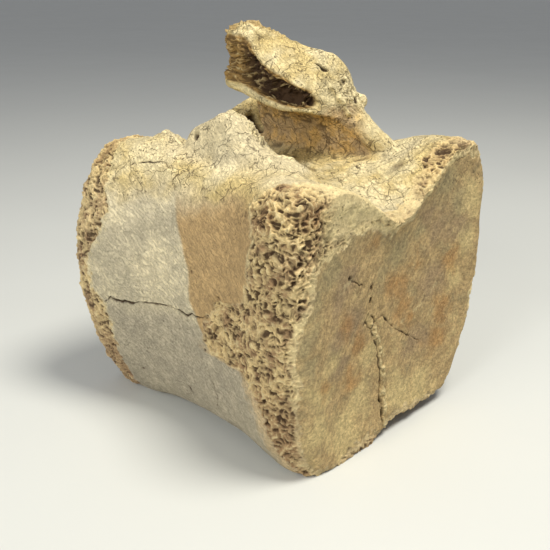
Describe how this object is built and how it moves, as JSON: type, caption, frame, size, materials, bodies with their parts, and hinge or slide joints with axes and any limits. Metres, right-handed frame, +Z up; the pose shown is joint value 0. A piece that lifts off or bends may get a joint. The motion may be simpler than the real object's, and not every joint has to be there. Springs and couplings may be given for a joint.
{
  "type": "fossil hadrosaur dorsal vertebra",
  "caption": "Fossil dorsal vertebra of a duck-billed dinosaur: a heavy spool-shaped centrum with worn rims, a broken right pedicle and the left half of the neural arch.",
  "frame": {"origin": "middle of the underside, at the height of the surface that the bone rests on", "axes": "+Z up towards the broken neural spine, -Y towards the front of the animal, +X towards the animal's left side"},
  "size_m": [0.127, 0.108, 0.139],
  "materials": {
    "fossil_bone": "dry fossil bone, pale cream to tan and orange-brown on the centrum and honey-cream on the arch, with open spongy bone along the worn rims and dark fibrous spongy bone in the break"
  },
  "bodies": {
    "root": {"centrum": "fossil_bone", "right_pedicle_stump": "fossil_bone", "left_pedicle": "fossil_bone", "neural_arch_roof": "fossil_bone", "neural_spine_base": "fossil_bone"}
  },
  "joints": []
}
